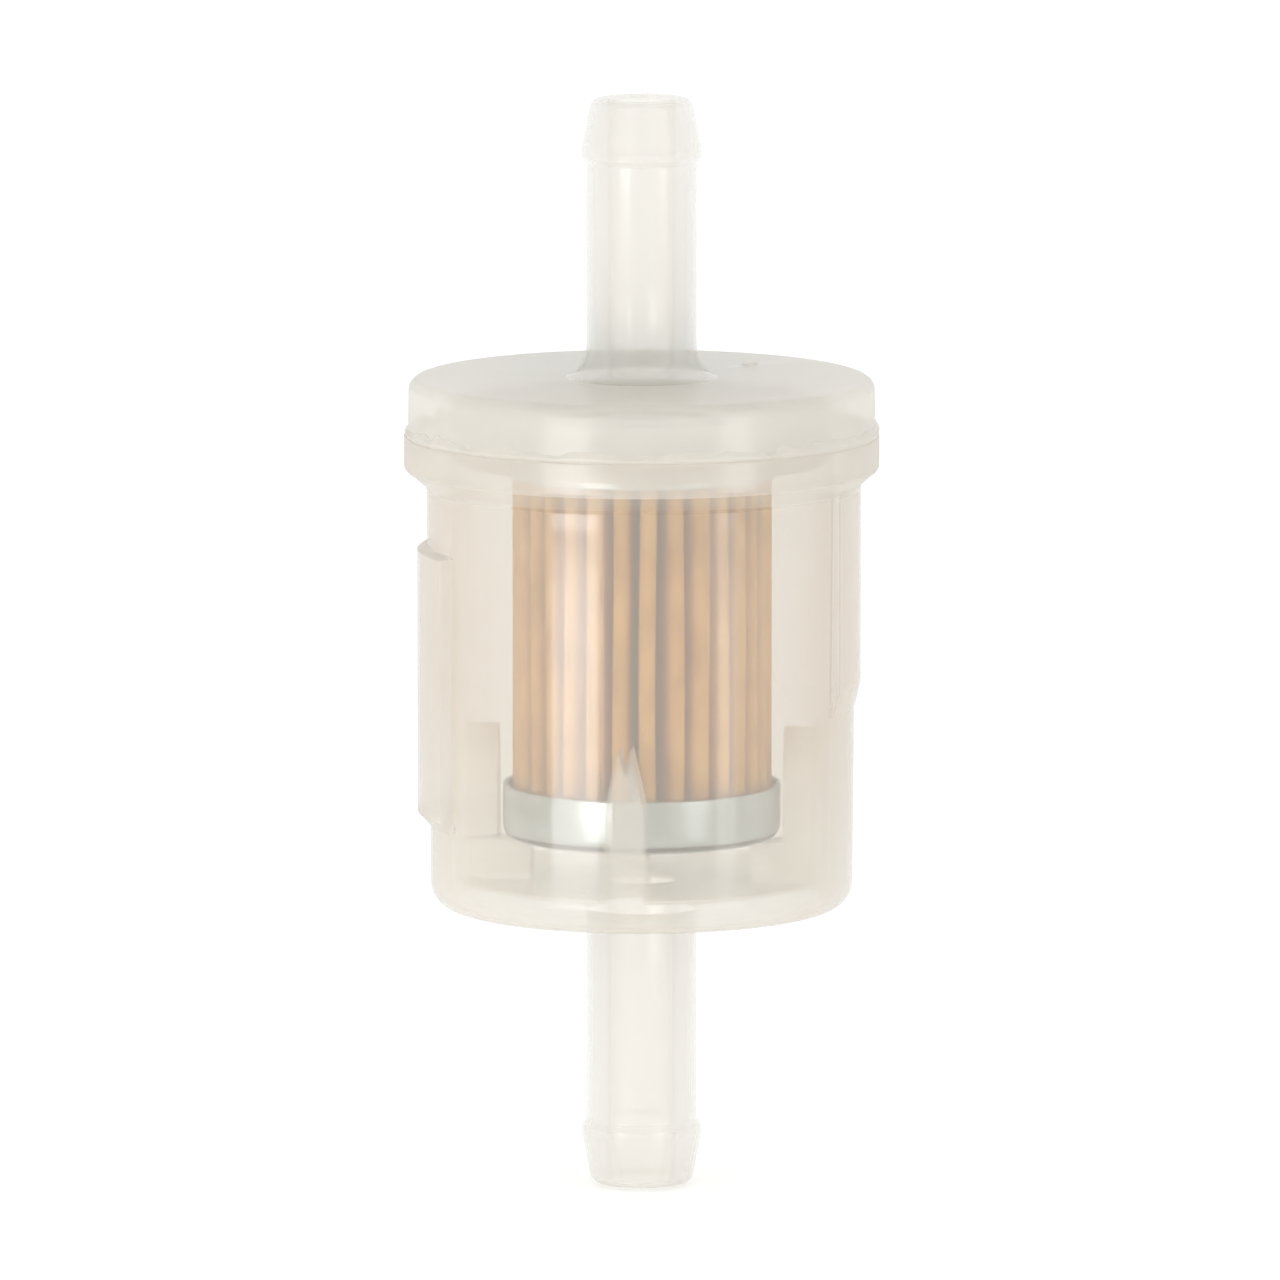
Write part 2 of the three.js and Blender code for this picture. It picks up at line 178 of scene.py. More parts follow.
def rounded(corners):
    """Outline points from (radius, height, rounding) corners; corners on the axis stay sharp."""
    points = []
    count = len(corners)
    for i, (r, z, rounding) in enumerate(corners):
        before = corners[i - 1][:2]
        after = corners[(i + 1) % count][:2]
        on_axis = r == 0
        points += [(r, z)] if on_axis else fillet(before, (r, z), after, rounding)
    return points


def with_levels(outline, levels, least_radius):
    """The outline with extra points where its outer wall crosses the given heights."""
    points = []
    for (r0, z0), (r1, z1) in zip(outline, outline[1:] + outline[:1]):
        points.append((r0, z0))
        if min(r0, r1) < least_radius or z1 <= z0:
            continue
        for level in sorted(levels):
            if z0 + 1e-6 < level < z1 - 1e-6:
                t = (level - z0) / (z1 - z0)
                points.append((r0 + (r1 - r0) * t, level))
    return points


def even_azimuths(count):
    return [2 * math.pi * i / count for i in range(count)]


def mesh_object(name, vertices, faces):
    mesh = bpy.data.meshes.new(name)
    mesh.from_pydata(vertices, [], faces)
    bm = bmesh.new()
    bm.from_mesh(mesh)
    bmesh.ops.recalc_face_normals(bm, faces=bm.faces)
    bm.to_mesh(mesh)
    bm.free()
    piece = bpy.data.objects.new(name, mesh)
    bpy.context.scene.collection.objects.link(piece)
    return piece


def lathe(name, outline, azimuths=None, place=None):
    """Closed solid: an outline turned about Z. place(r, z, azimuth) moves a point to its own r and z."""
    azimuths = azimuths or even_azimuths(FINE_TURN)
    turns = len(azimuths)
    vertices = []
    rings = []
    faces = []
    for r, z in outline:
        if r == 0:
            rings.append([len(vertices)] * turns)
            vertices.append((0, 0, z))
            continue
        ring = []
        for azimuth in azimuths:
            rr, zz = place(r, z, azimuth) if place else (r, z)
            ring.append(len(vertices))
            vertices.append((rr * math.cos(azimuth), rr * math.sin(azimuth), zz))
        rings.append(ring)
    pairs = list(zip(rings, rings[1:]))
    if outline[0][0] > 0:
        pairs.append((rings[-1], rings[0]))
    for low, high in pairs:
        for i in range(turns):
            j = (i + 1) % turns
            face = [low[i], low[j], high[j], high[i]]
            face = list(dict.fromkeys(face))
            if len(face) > 2:
                faces.append(face)
    return mesh_object(name, vertices, faces)


def settle(piece):
    """Applies the modifiers on a piece."""
    graph = bpy.context.evaluated_depsgraph_get()
    mesh = bpy.data.meshes.new_from_object(piece.evaluated_get(graph))
    piece.modifiers.clear()
    piece.data = mesh


def combine(piece, other, operation):
    """Joins a solid to a piece or cuts it away, and drops the tool."""
    cut = piece.modifiers.new(operation.lower(), "BOOLEAN")
    cut.operation = operation
    cut.solver = "MANIFOLD"
    cut.object = other
    settle(piece)
    bpy.data.objects.remove(other)


def soften(piece, width, segments=3, angle=30):
    """Rounds a piece's sharp edges."""
    bevel = piece.modifiers.new("soften", "BEVEL")
    bevel.width = width
    bevel.segments = segments
    bevel.limit_method = "ANGLE"
    bevel.angle_limit = math.radians(angle)
    settle(piece)


def finish_piece(piece, material, replaced=None, sharp=40, zone=None):
    """Scales to metres, sets smooth shading with sharp edges kept, and ties the piece to the frame.

    material may be a list; zone(radius, height, outward) then picks one for each face. Radius and
    height are in millimetres, and outward is how far the face points away from the axis, -1 to 1.
    """
    mesh = piece.data
    materials = material if isinstance(material, list) else [material]
    choice = [0] * len(mesh.polygons)
    if zone:
        for polygon in mesh.polygons:
            c = polygon.center
            n = polygon.normal
            r = math.hypot(c.x, c.y)
            choice[polygon.index] = zone(r, c.z, (n.x * c.x + n.y * c.y) / r)
    mesh.transform(Matrix.Scale(MM, 4))
    bm = bmesh.new()
    bm.from_mesh(mesh)
    for face in bm.faces:
        face.smooth = True
    for edge in bm.edges:
        edge.smooth = len(edge.link_faces) == 2 and edge.calc_face_angle() < math.radians(sharp)
    bm.to_mesh(mesh)
    bm.free()
    mesh.materials.clear()
    for each in materials:
        mesh.materials.append(each)
    for polygon in mesh.polygons:
        polygon.material_index = choice[polygon.index]
    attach(piece, "root")
    if replaced:
        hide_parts(*([replaced] if isinstance(replaced, str) else replaced))
    return piece


# ---------------------------------------------------------------- material helpers


class Shader:
    """A node material under construction."""

    def __init__(self, name):
        self.material = bpy.data.materials.new(name)
        self.material.use_nodes = True
        self.tree = self.material.node_tree
        self.tree.nodes.clear()
        self.output = self.node("ShaderNodeOutputMaterial")
        self.place = self.node("ShaderNodeTexCoord").outputs["Object"]

    def node(self, kind, **settings):
        made = self.tree.nodes.new(kind)
        for key, value in settings.items():
            if isinstance(value, (int, float, tuple)) and key in made.inputs:
                made.inputs[key].default_value = value
            else:
                setattr(made, key, value)
        return made

    def link(self, source, target):
        self.tree.links.new(source, target)

    def stretched(self, x, y, z):
        scale = self.node("ShaderNodeMapping")
        scale.inputs["Scale"].default_value = (x, y, z)
        self.link(self.place, scale.inputs["Vector"])
        return scale.outputs["Vector"]

    def grain(self, scale, detail=3.0, roughness=0.5, vector=None, distortion=0.0):
        made = self.node("ShaderNodeTexNoise")
        made.inputs["Scale"].default_value = scale
        made.inputs["Detail"].default_value = detail
        made.inputs["Roughness"].default_value = roughness
        made.inputs["Distortion"].default_value = distortion
        self.link(vector or self.place, made.inputs["Vector"])
        return made.outputs["Fac"]

    def ramp(self, factor, stops):
        made = self.node("ShaderNodeValToRGB")
        elements = made.color_ramp.elements
        while len(elements) < len(stops):
            elements.new(0.5)
        for element, (position, colour) in zip(elements, stops):
            element.position = position
            element.color = (*colour, 1.0)
        self.link(factor, made.inputs["Fac"])
        return made.outputs["Color"]

    def spread(self, factor, low, high, from_low=0.0, from_high=1.0):
        made = self.node("ShaderNodeMapRange")
        made.inputs["From Min"].default_value = from_low
        made.inputs["From Max"].default_value = from_high
        made.inputs["To Min"].default_value = low
        made.inputs["To Max"].default_value = high
        self.link(factor, made.inputs["Value"])
        return made.outputs["Result"]

    def bump(self, height, strength, distance):
        made = self.node("ShaderNodeBump")
        made.inputs["Strength"].default_value = strength
        made.inputs["Distance"].default_value = distance
        self.link(height, made.inputs["Height"])
        return made.outputs["Normal"]

    def finish(self, shader):
        self.link(shader, self.output.inputs["Surface"])
        return self.material


# ---------------------------------------------------------------- materials


def wall_veil(outer, inner, density):
    """Opacity stops against 1 - cos(angle) for one crossing of a round wall.

    A ray that meets the outer radius at that angle crosses this much plastic before the bore, or
    before the middle of the wall where it misses the bore.
    """
    stops = []
    graze = 1 - math.sqrt(max(1 - (inner / outer) ** 2, 0))
    for facing in (0.0, 0.15, 0.3, 0.42, graze, graze + 0.12, graze + 0.25, 1.0):
        cosine = 1 - min(facing, 0.98)
        reach = inner ** 2 - outer ** 2 * (1 - cosine ** 2)
        length = outer * cosine - math.sqrt(max(reach, 0))
        stops.append((min(facing, 1.0), 1 - math.exp(-density * length)))
    return sorted(stops)


def even_veil(face_on, edge_on):
    return [(0.0, face_on), (1.0, edge_on)]


# Share of light that plastic mirrors, face on and edge on, alike from both sides of the wall
FACE_ON_MIRROR = 0.04
EDGE_ON_MIRROR = 0.5
MIRROR_FALLOFF = 5.0


def milky_plastic(name, veil, cream, shade, through=0.4, rough=0.09, shaded_thick_root=None):
    """Milky translucent moulding.

    veil gives its opacity by viewing angle, through is the share of its haze that is lit from
    behind, and rough is the roughness of its gloss, which varies up to half as much again.
    The last argument, if given, is (low z, high z, tint, extra opacity), heights in metres: the tint
    is painted shade, used on the upper stem's flared root, and the extra opacity is the thicker plastic
    there; the tint and the extra opacity fade out from low z to high z.
    """
    s = Shader(name)
    cloud = s.grain(140, detail=4)
    colour = s.ramp(cloud, [(0.3, shade), (0.7, cream)])
    if shaded_thick_root:
        low, high, tint, extra = shaded_thick_root
        split = s.node("ShaderNodeSeparateXYZ")
        s.link(s.place, split.inputs[0])
        fade = s.spread(split.outputs["Z"], 1.0, 0.0, low, high)
        # Painted shade: the darker root tint is mixed into the colour, fading out upward
        root_shade_mix = s.node("ShaderNodeMix", data_type="RGBA", blend_type="MIX")
        s.link(fade, root_shade_mix.inputs[0])
        s.link(colour, root_shade_mix.inputs[6])
        root_shade_mix.inputs[7].default_value = (*tint, 1)
        colour = root_shade_mix.outputs[2]
    flow = s.grain(260, detail=2, vector=s.stretched(1, 1, 0.25))
    normal = s.bump(flow, 0.08, 0.00015)

    body = s.node("ShaderNodeBsdfDiffuse")
    s.link(colour, body.inputs["Color"])
    glow = s.node("ShaderNodeBsdfTranslucent")
    s.link(colour, glow.inputs["Color"])
    haze = s.node("ShaderNodeMixShader")
    haze.inputs["Fac"].default_value = through
    s.link(body.outputs[0], haze.inputs[1])
    s.link(glow.outputs[0], haze.inputs[2])

    clear = s.node("ShaderNodeBsdfTransparent")
    clear.inputs["Color"].default_value = (0.99, 0.985, 0.97, 1)
    facing = s.node("ShaderNodeLayerWeight")
    facing.inputs["Blend"].default_value = 0.5
    opacity = s.ramp(facing.outputs["Facing"], [(at, (v, v, v)) for at, v in veil])
    if shaded_thick_root:
        denser = s.node("ShaderNodeMath", operation="MULTIPLY_ADD", use_clamp=True)
        s.link(fade, denser.inputs[0])
        denser.inputs[1].default_value = extra
        s.link(opacity, denser.inputs[2])
        opacity = denser.outputs[0]
    wall = s.node("ShaderNodeMixShader")
    s.link(opacity, wall.inputs["Fac"])
    s.link(clear.outputs[0], wall.inputs[1])
    s.link(haze.outputs[0], wall.inputs[2])

    gloss = s.node("ShaderNodeBsdfGlossy")
    s.link(s.spread(cloud, rough, rough * 1.5), gloss.inputs["Roughness"])
    s.link(normal, gloss.inputs["Normal"])
    steep = s.node("ShaderNodeMath", operation="POWER")
    s.link(facing.outputs["Facing"], steep.inputs[0])
    steep.inputs[1].default_value = MIRROR_FALLOFF
    surface = s.node("ShaderNodeMixShader")
    s.link(s.spread(steep.outputs[0], FACE_ON_MIRROR, EDGE_ON_MIRROR), surface.inputs["Fac"])
    s.link(wall.outputs[0], surface.inputs[1])
    s.link(gloss.outputs[0], surface.inputs[2])
    return s.finish(surface.outputs[0])


def filter_paper():
    """Tan resin-treated paper: matted fibres, resin mottling, a little light through the sheet."""
    s = Shader("filter_paper_tan")
    mottle = s.grain(420, detail=5, roughness=0.6)
    fibre = s.grain(2400, detail=4, roughness=0.7, vector=s.stretched(1, 1, 0.22), distortion=0.6)
    base = s.ramp(mottle, [
        (0.3, (0.72, 0.37, 0.07)),
        (0.55, (0.93, 0.55, 0.15)),
        (0.8, (0.97, 0.66, 0.24)),
    ])
    strands = s.ramp(fibre, [(0.35, (0.8, 0.78, 0.74)), (0.7, (1.0, 1.0, 1.0))])
    tint = s.node("ShaderNodeMix", data_type="RGBA", blend_type="MULTIPLY")
    tint.inputs[0].default_value = 0.8
    s.link(base, tint.inputs[6])
    s.link(strands, tint.inputs[7])
    sheet = s.node("ShaderNodeBsdfPrincipled")
    s.link(tint.outputs[2], sheet.inputs["Base Color"])
    s.link(s.spread(fibre, 0.75, 0.95), sheet.inputs["Roughness"])
    sheet.inputs["Specular IOR Level"].default_value = 0.25
    s.link(s.bump(fibre, 0.5, 0.00006), sheet.inputs["Normal"])
    glow = s.node("ShaderNodeBsdfTranslucent")
    s.link(tint.outputs[2], glow.inputs["Color"])
    both = s.node("ShaderNodeMixShader")
    both.inputs["Fac"].default_value = 0.34
    s.link(sheet.outputs[0], both.inputs[1])
    s.link(glow.outputs[0], both.inputs[2])
    return s.finish(both.outputs[0])


def zinc_plate(name, dull, bright):
    """Drawn sheet with bright zinc plate: faint spangle, draw lines round the axis, duller patches."""
    s = Shader(name)
    spangle = s.node("ShaderNodeTexVoronoi")
    spangle.inputs["Scale"].default_value = 900
    s.link(s.place, spangle.inputs["Vector"])
    draw = s.grain(1500, detail=3, vector=s.stretched(0.06, 0.06, 1))
    patch = s.grain(260, detail=4)
    colour = s.ramp(patch, [(0.3, dull), (0.7, bright)])
    metal = s.node("ShaderNodeBsdfPrincipled")
    s.link(colour, metal.inputs["Base Color"])
    metal.inputs["Metallic"].default_value = 1.0
    s.link(s.spread(spangle.outputs["Distance"], 0.22, 0.36), metal.inputs["Roughness"])
    s.link(s.bump(draw, 0.25, 0.00003), metal.inputs["Normal"])
    return s.finish(metal.outputs[0])


def cured_adhesive():
    """Cast adhesive: amber-tan, glossy, with trapped haze."""
    s = Shader("cured_adhesive_tan")
    haze = s.grain(500, detail=4)
    colour = s.ramp(haze, [(0.3, (0.42, 0.32, 0.18)), (0.7, (0.56, 0.45, 0.28))])
    cast = s.node("ShaderNodeBsdfPrincipled")
    s.link(colour, cast.inputs["Base Color"])
    s.link(s.spread(haze, 0.3, 0.5), cast.inputs["Roughness"])
    s.link(s.bump(haze, 0.3, 0.0001), cast.inputs["Normal"])
    return s.finish(cast.outputs[0])


def seal_rubber():
    """Natural-coloured moulded rubber, matt, with a fine bloom."""
    s = Shader("seal_rubber_natural")
    bloom = s.grain(900, detail=5, roughness=0.65)
    colour = s.ramp(bloom, [(0.3, (0.46, 0.39, 0.28)), (0.7, (0.58, 0.51, 0.39))])
    rubber = s.node("ShaderNodeBsdfPrincipled")
    s.link(colour, rubber.inputs["Base Color"])
    s.link(s.spread(bloom, 0.7, 0.9), rubber.inputs["Roughness"])
    s.link(s.bump(bloom, 0.3, 0.00005), rubber.inputs["Normal"])
    return s.finish(rubber.outputs[0])


def floor_paint():
    """Plain white paper sweep."""
    s = Shader("floor_white")
    tooth = s.grain(60, detail=3)
    paper = s.node("ShaderNodeBsdfPrincipled")
    s.link(s.ramp(tooth, [(0.3, (0.9, 0.9, 0.9)), (0.7, (0.92, 0.92, 0.92))]), paper.inputs["Base Color"])
    paper.inputs["Roughness"].default_value = 0.9
    paper.inputs["Emission Color"].default_value = (1, 1, 1, 1)
    paper.inputs["Emission Strength"].default_value = 0.18
    return s.finish(paper.outputs[0])


# ---------------------------------------------------------------- housing

# Raised pads on the bowl's outer wall; taper is how far the low end takes to reach full height
PADS = [
    {"azimuth": math.pi, "radius": 13.46, "low": 21.85, "high": 38.6, "taper": 0.8},
    {"azimuth": 0.0, "radius": 13.15, "low": 28.9, "high": 43.2, "taper": 1.6},
]
PAD_HALF_ANGLE = math.radians(27)
PAD_EDGE = 0.14
RIB_AZIMUTHS = [math.radians(-95.5 + 90 * i) for i in range(4)]


def stem_tip(tip, direction):
    """Corners of a hose stem's outside from its tip to the shank."""
    return [
        (BORE_RADIUS, tip, 0.12),
        (TIP_RADIUS, tip, 0.75),
        (BARB_RADIUS, tip + direction * BARB_START, 0.35),
        (BARB_RADIUS, tip + direction * BARB_END, 0.15),
        (STEM_RADIUS, tip + direction * SHANK_START, 0.2),
    ]


def bowl_outline():
    """Corners are (radius, height, rounding). The extra levels carry the raised pads."""
    corners = stem_tip(INLET_TIP, 1) + [
        (STEM_RADIUS, BOWL_BOTTOM, 0.4),
        (FOOT_RADIUS, BOWL_BOTTOM, 1.55),
        (NECK_RADIUS, CHAMFER_LOW, 0.5),
        (FLANGE_RADIUS, FLANGE_LOW, 0.35),
        (FLANGE_RADIUS, JOINT, 0.12),
        (INNER_MOUTH, JOINT, 0.2),
        (INNER_FOOT, BOWL_FLOOR, 0.8),
        (BORE_RADIUS, BOWL_FLOOR, 0.25),
    ]
    levels = []
    for pad in PADS:
        for level in (pad["low"], pad["low"] + pad["taper"], pad["high"]):
            levels += [level + PAD_EDGE * step / 2 for step in (-2, -1, 0, 1, 2)]
    levels += [BOWL_BOTTOM + 1.6 + 1.25 * i for i in range(20)]
    levels += [FLANGE_LOW + 0.3, FLANGE_LOW + 0.5, JOINT - 0.3, JOINT - 0.2]
    return with_levels(rounded(corners), levels, FOOT_RADIUS - 0.2)


def bowl_azimuths():
    azimuths = set(even_azimuths(FINE_TURN))
    step = PAD_EDGE / FOOT_RADIUS / 2
    for pad in PADS:
        for side in (-1, 1):
            edge = pad["azimuth"] + side * PAD_HALF_ANGLE
            azimuths |= {(edge + k * step) % (2 * math.pi) for k in (-2, -1, 0, 1, 2)}
    ordered = sorted(azimuths)
    return [a for a, b in zip(ordered, ordered[1:] + [ordered[0] + 2 * math.pi]) if b - a > 1e-5]


def with_pads(r, z, azimuth):
    """Lifts the bowl's outer wall to the raised pads, with softly rounded edges."""
    if r < FOOT_RADIUS - 0.1 or z > CHAMFER_LOW + 1:
        return r, z
    for pad in PADS:
        off = abs(turn_gap(azimuth, pad["azimuth"]))
        soft = PAD_EDGE / FOOT_RADIUS
        across = 1 - smoothstep(off, PAD_HALF_ANGLE - soft, PAD_HALF_ANGLE + soft)
        ramp_up = min(max((z - pad["low"]) / pad["taper"], 0), 1)
        up = ramp_up * (1 - smoothstep(z, pad["high"] - PAD_EDGE, pad["high"] + PAD_EDGE))
        if across * up > 0:
            return max(r, r + (pad["radius"] - r) * across * up), z
    return r, z


def locating_rib(azimuth):
    """Upright web with a two-pointed top against the wall, and the ledge under the element."""
    half = 1.2
    root = 12.0
    inner = 8.6
    ledge_inner = 6.6
    foot = 17.7
    shoulder = 24.4
    apex = 27.75
    notch = 26.0
    spread = 0.36
    front = [
        (-half, foot),
        (half, foot),
        (half * 0.92, shoulder),
        (spread, apex),
        (0, notch),
        (-spread, apex),
        (-half * 0.92, shoulder),
    ]
    count = len(front)
    vertices = [(across, inner, z) for across, z in front] + [(across, root, z) for across, z in front]
    faces = [list(range(count)), list(range(2 * count - 1, count - 1, -1))]
    faces += [[i, i + count, (i + 1) % count + count, (i + 1) % count] for i in range(count)]
    web = mesh_object("web", vertices, faces)
    ledge_top = lower_cap_box[0][2]
    ledge_corners = [
        (x, y, z)
        for z in (foot, ledge_top)
        for y in (ledge_inner, root)
        for x in (-half, half)
    ]
    ledge_faces = [[0, 1, 3, 2], [4, 6, 7, 5], [0, 4, 5, 1], [2, 3, 7, 6], [0, 2, 6, 4], [1, 5, 7, 3]]
    ledge = mesh_object("ledge", ledge_corners, ledge_faces)
    combine(web, ledge, "UNION")
    soften(web, 0.1, segments=2)
    web.data.transform(Matrix.Rotation(azimuth - math.pi / 2, 4, "Z"))
    return web


# Places of the finishes in the lists that make_bowl and make_lid are given
WALL, STEM, INNER, RIB, FLANGE, CHAMFER, FLOOR = range(7)
LID_STEM, LID_INNER, LID_SHELL, LID_TONGUE = range(4)


def bowl_zone(r, z, outward):
    """Which finish a face of the bowl has. A face that doesn't point outward is a pad's side."""
    if z < BOWL_BOTTOM - 0.3:
        return STEM if r > BORE_RADIUS + 0.15 else INNER
    if z > FLANGE_LOW - 0.1 and r > NECK_RADIUS - 0.1:
        return FLANGE
    if z > CHAMFER_LOW - 0.1 and r > NECK_RADIUS - 0.1:
        return CHAMFER
    if r > FOOT_RADIUS - 0.1 and outward < 0.9 and z > BOWL_BOTTOM + 2:
        return FLANGE
    if BOWL_BOTTOM + 0.5 < z < BOWL_FLOOR + 0.1 and r < INNER_FOOT - 0.3:
        return FLOOR
    if r > INNER_MOUTH + 0.3 or z < BOWL_BOTTOM + 0.5:
        return WALL
    return RIB if r < INNER_FOOT - 0.2 and z > BOWL_FLOOR + 0.1 else INNER


def make_bowl(plastics):
    bowl = lathe("bowl_moulding", bowl_outline(), bowl_azimuths(), with_pads)
    for azimuth in RIB_AZIMUTHS:
        combine(bowl, locating_rib(azimuth), "UNION")
    return finish_piece(bowl, plastics, BOWL_NODES, zone=bowl_zone)


def lid_outline():
    """Corners are (radius, height, rounding). The extra levels keep the side's shading upright."""
    flare = []
    for i in range(FLARE_STEPS + 1):
        angle = math.pi / 2 * i / FLARE_STEPS
        r = FLARE_RADIUS - (FLARE_RADIUS - STEM_RADIUS) * math.sin(angle)
        flare.append((r, LID_TOP + FLARE_HEIGHT * (1 - math.cos(angle)), 0))
    corners = [
        (SKIRT_INNER, JOINT, 0.1),
        (LID_RADIUS, JOINT, 0.1),
        (LID_RADIUS - 0.03, LID_TOP, 0.75),
        *flare,
        *reversed(stem_tip(OUTLET_TIP, -1)),
        (BORE_RADIUS, BOSS_UNDERSIDE, 0.2),
        (POCKET_RADIUS, BOSS_UNDERSIDE, 0.15),
        (POCKET_RADIUS, POCKET_LOW, 0.2),
        (POCKET_WALL_RADIUS, POCKET_LOW, 0.25),
        (POCKET_WALL_RADIUS, LID_UNDERSIDE, 0.4),
        (TONGUE_INNER, LID_UNDERSIDE, 0.4),
        (TONGUE_INNER, TONGUE_LOW, 0.25),
        (TONGUE_OUTER, TONGUE_LOW, 0.25),
        (TONGUE_OUTER, LID_UNDERSIDE, 0.2),
        (SKIRT_INNER, LID_UNDERSIDE, 0.4),
    ]
    levels = [JOINT + 0.3, JOINT + 1.1, LID_TOP - 1.2, LID_TOP - 0.95, LID_TOP - 0.85]
    return with_levels(rounded(corners), levels, LID_RADIUS - 0.1)


def lid_zone(r, z, outward):
    """Which finish a face of the lid has."""
    if z > LID_TOP + 0.02 and r < 5:
        return LID_STEM if r > BORE_RADIUS + 0.15 else LID_INNER
    if z > LID_TOP - 0.4 and r > BORE_RADIUS + 0.3 or r > LID_RADIUS - 0.6:
        return LID_SHELL
    return LID_TONGUE if TONGUE_INNER - 0.2 < r < TONGUE_OUTER + 0.1 else LID_INNER


def gate_mark():
    """Low broken-off nub where the lid's mould was filled."""
    outline = rounded([
        (0, LID_TOP - 0.3, 0),
        (GATE_RADIUS, LID_TOP - 0.3, 0),
        (GATE_RADIUS, LID_TOP + GATE_HEIGHT, 0.1),
        (GATE_RADIUS * 0.5, LID_TOP + GATE_HEIGHT * 0.55, 0.05),
        (0, LID_TOP + GATE_HEIGHT * 0.7, 0),
    ])
    nub = lathe("gate_mark", outline, even_azimuths(20))
    nub.data.transform(Matrix.Translation(GATE_PLACE))
    return nub


def make_lid(plastics):
    lid = lathe("lid_moulding", lid_outline())
    combine(lid, gate_mark(), "UNION")
    return finish_piece(lid, plastics, LID_NODES, zone=lid_zone)


def make_flash(plastic):
    """Ragged bead squeezed out of the spin weld, between the flange's top and the lid's skirt."""
    bead = rounded([
        (LID_RADIUS - 0.12, JOINT - 0.2, 0),
        (FLANGE_RADIUS - 0.1, JOINT - 0.2, 0.03),
        (FLANGE_RADIUS + 0.06, JOINT + 0.22, 0.1),
        (LID_RADIUS + 0.06, JOINT + 0.5, 0.08),
        (LID_RADIUS - 0.12, JOINT + 0.55, 0),
    ])

    def ragged(r, z, azimuth):
        """Curls and nicks: fine and broad noise round the rim."""
        at = Vector((4 * math.cos(azimuth), 4 * math.sin(azimuth), 0))
        fine = noise.noise(at * 3.1 + Vector((0, 0, 7)))
        broad = noise.noise(at * 0.8 + Vector((0, 0, 2)))
        rise = smoothstep(z, JOINT + 0.1, JOINT + 0.5)
        reach = smoothstep(r, LID_RADIUS - 0.05, FLANGE_RADIUS) * smoothstep(z, JOINT, JOINT + 0.15)
        return r + reach * (0.1 * fine + 0.07 * broad - 0.06), z + rise * (0.5 * fine + 0.3 * broad)

    flash = lathe("weld_flash", bead, even_azimuths(240), ragged)
    return finish_piece(flash, plastic)


# ---------------------------------------------------------------- filter element

PLEATS = 28
PLEAT_PITCH = math.radians(12.2)
SEAM_AZIMUTH = math.radians(86.7)
ROOT_RADIUS = 4.2
PAPER_THICKNESS = 0.28
# How far the paper's ends are sunk in the adhesive
PAPER_SUNK = 0.6


def pleat_azimuths():
    """Fold directions: even pleats that bunch a little three times round, and the seam pleat alone."""
    first = SEAM_AZIMUTH + (2 * math.pi - (PLEATS - 1) * PLEAT_PITCH) / 2
    folds = [SEAM_AZIMUTH]
    for i in range(PLEATS):
        azimuth = first + i * PLEAT_PITCH
        from_front = azimuth - 1.5 * math.pi
        folds.append(azimuth + math.radians(1.8) * math.sin(3 * from_front) * math.exp(-from_front ** 2))
    return folds


def radial(azimuth, along, across):
    c = math.cos(azimuth)
    s = math.sin(azimuth)
    return (along * c - across * s, along * s + across * c)


def fold(azimuth, tip, half_width, depth, steps=6):
    """Points of a round fold: half an ellipse about a radial line, its tip at the given radius."""
    points = []
    for i in range(steps + 1):
        angle = math.pi * i / steps - math.pi / 2
        points.append(radial(azimuth, tip - depth * (1 - math.cos(angle)), half_width * math.sin(angle)))
    return points


def paper_section(z, folds, wander):
    """Outer and inner outline of the pleated strip at one height.

    wander holds, for each fold: its lean, how far that sways and from where, in degrees, how far its
    tip stands back, and how much wider it is.
    """
    outer = []
    inner = []
    count = len(folds)
    for i, azimuth in enumerate(folds):
        following = folds[(i + 1) % count] + (2 * math.pi if i == count - 1 else 0)
        lean = wander[i][0] + wander[i][1] * math.sin(0.22 * z + wander[i][2])
        ridge = azimuth + math.radians(lean)
        valley = (azimuth + following) / 2
        tip = PAPER_RADIUS - wander[i][3]
        half = 0.5 + wander[i][4]
        outer += fold(ridge, tip, half, 0.5)
        outer += fold(valley, ROOT_RADIUS + PAPER_THICKNESS, 0.08, -0.15, steps=4)
        inner += fold(ridge, tip - PAPER_THICKNESS, half - PAPER_THICKNESS, 0.25)
        inner += fold(valley, ROOT_RADIUS, 0.08 + PAPER_THICKNESS, -0.3, steps=4)
    return outer, inner


def make_paper(paper):
    """Pleated strip whose folds wander a little; its ends are sunk in the adhesive."""
    rng = random.Random(41)
    folds = pleat_azimuths()
    wander = []
    for _ in folds:
        wander.append((
            rng.uniform(-0.5, 0.5),
            rng.uniform(0.2, 0.7),
            rng.uniform(0, 6.28),
            rng.uniform(0.0, 0.16),
            rng.uniform(-0.05, 0.05),
        ))
    low = paper_box[0][2] - PAPER_SUNK
    high = paper_box[1][2] + PAPER_SUNK
    levels = 26
    vertices = []
    loops = []
    for k in range(levels + 1):
        z = low + (high - low) * k / levels
        pair = []
        for outline in paper_section(z, folds, wander):
            pair.append(range(len(vertices), len(vertices) + len(outline)))
            vertices += [(x, y, z) for x, y in outline]
        loops.append(pair)
    count = len(loops[0][0])
    faces = []
    for below, above in zip(loops, loops[1:]):
        for side in (0, 1):
            for i in range(count):
                j = (i + 1) % count
                faces.append([below[side][i], below[side][j], above[side][j], above[side][i]])
    for end in (loops[0], loops[-1]):
        for i in range(count):
            j = (i + 1) % count
            faces.append([end[0][i], end[0][j], end[1][j], end[1][i]])
    piece = mesh_object("paper_pleats", vertices, faces)
    return finish_piece(piece, paper, "pleated_paper", sharp=60)


